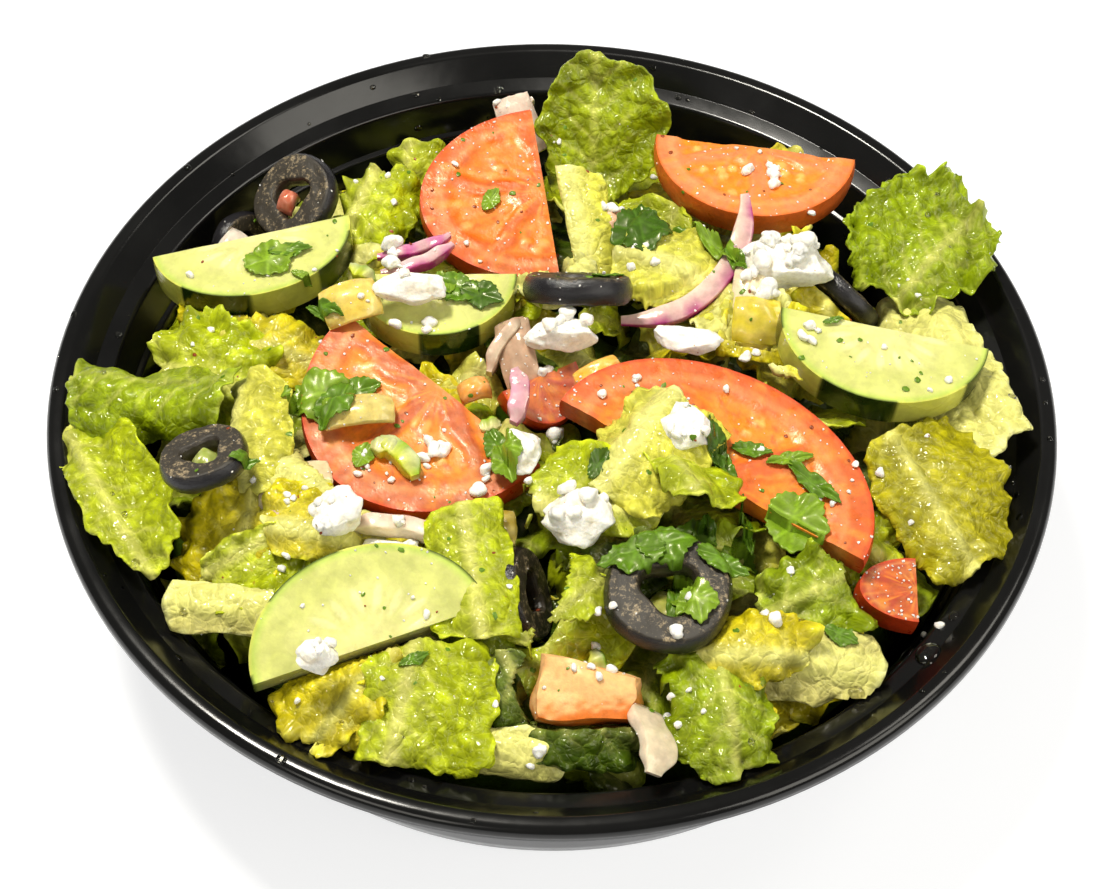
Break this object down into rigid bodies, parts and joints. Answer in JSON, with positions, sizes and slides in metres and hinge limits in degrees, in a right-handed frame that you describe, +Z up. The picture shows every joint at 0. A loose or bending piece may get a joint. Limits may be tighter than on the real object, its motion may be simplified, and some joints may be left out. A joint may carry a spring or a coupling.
{
  "type": "greek salad bowl",
  "caption": "Greek salad in a round black take-out bowl: romaine with tomato, cucumber, olives, feta, red onion and pepper.",
  "frame": {"origin": "the middle of the ring that the bowl stands on, at its underside", "axes": "+Z up, along the bowl's axis; -Y is the front, towards the viewer; +X is the viewer's right"},
  "size_m": [0.184, 0.184, 0.0651],
  "materials": {
    "black_plastic": "thin black polypropylene, glossy, with moulded rings and a few water drops",
    "lettuce": "wet chopped romaine, blistered, lime to yellow-green with pale ribs",
    "tomato": "wet cut tomato, orange-red flesh under a smooth red skin",
    "cucumber": "wet pale green flesh under a peel in dark and pale stripes",
    "olive": "glossy black skin round a speckled brown-grey cut face",
    "feta": "moist crumbled white cheese, matt",
    "red_onion": "wet translucent pink to purple onion strips",
    "pepper": "wet yellow-green pepper pieces"
  },
  "bodies": {
    "root": {"bowl": "black_plastic", "cucumber_back_left": "cucumber", "cucumber_centre": "cucumber", "cucumber_front_left": "cucumber", "cucumber_right": "cucumber", "feta_back_left": "feta", "feta_back_right": "feta", "feta_centre_left": "feta", "feta_front_left": "feta", "feta_left": "feta", "feta_left_front": "feta", "feta_middle": "feta", "feta_middle_front": "feta", "feta_slab": "feta", "feta_top": "feta", "leaf_back": "lettuce", "leaf_back_right": "lettuce", "leaf_front": "lettuce", "leaf_front_right": "lettuce", "leaf_left": "lettuce", "leaf_left_front": "lettuce", "leaf_right": "lettuce", "leaf_right_front": "lettuce", "olive_back_left": "olive", "olive_front": "olive", "olive_left": "olive", "olive_middle_front": "olive", "olive_right": "olive", "olive_top": "olive", "olive_wall": "olive", "onion_arc": "red_onion", "onion_back": "red_onion", "onion_front": "red_onion", "onion_left_front": "red_onion", "onion_purple_back": "red_onion", "onion_purple_centre": "red_onion", "onion_purple_front": "red_onion", "onion_wedge": "red_onion", "pepper_back_left": "pepper", "pepper_left": "pepper", "pepper_middle": "pepper", "pepper_right": "pepper", "salad_heap": "lettuce", "tomato_back_left": "tomato", "tomato_back_right": "tomato", "tomato_centre": "tomato", "tomato_dice": "tomato", "tomato_front": "tomato", "tomato_left": "tomato", "tomato_right": "tomato"}
  },
  "joints": []
}
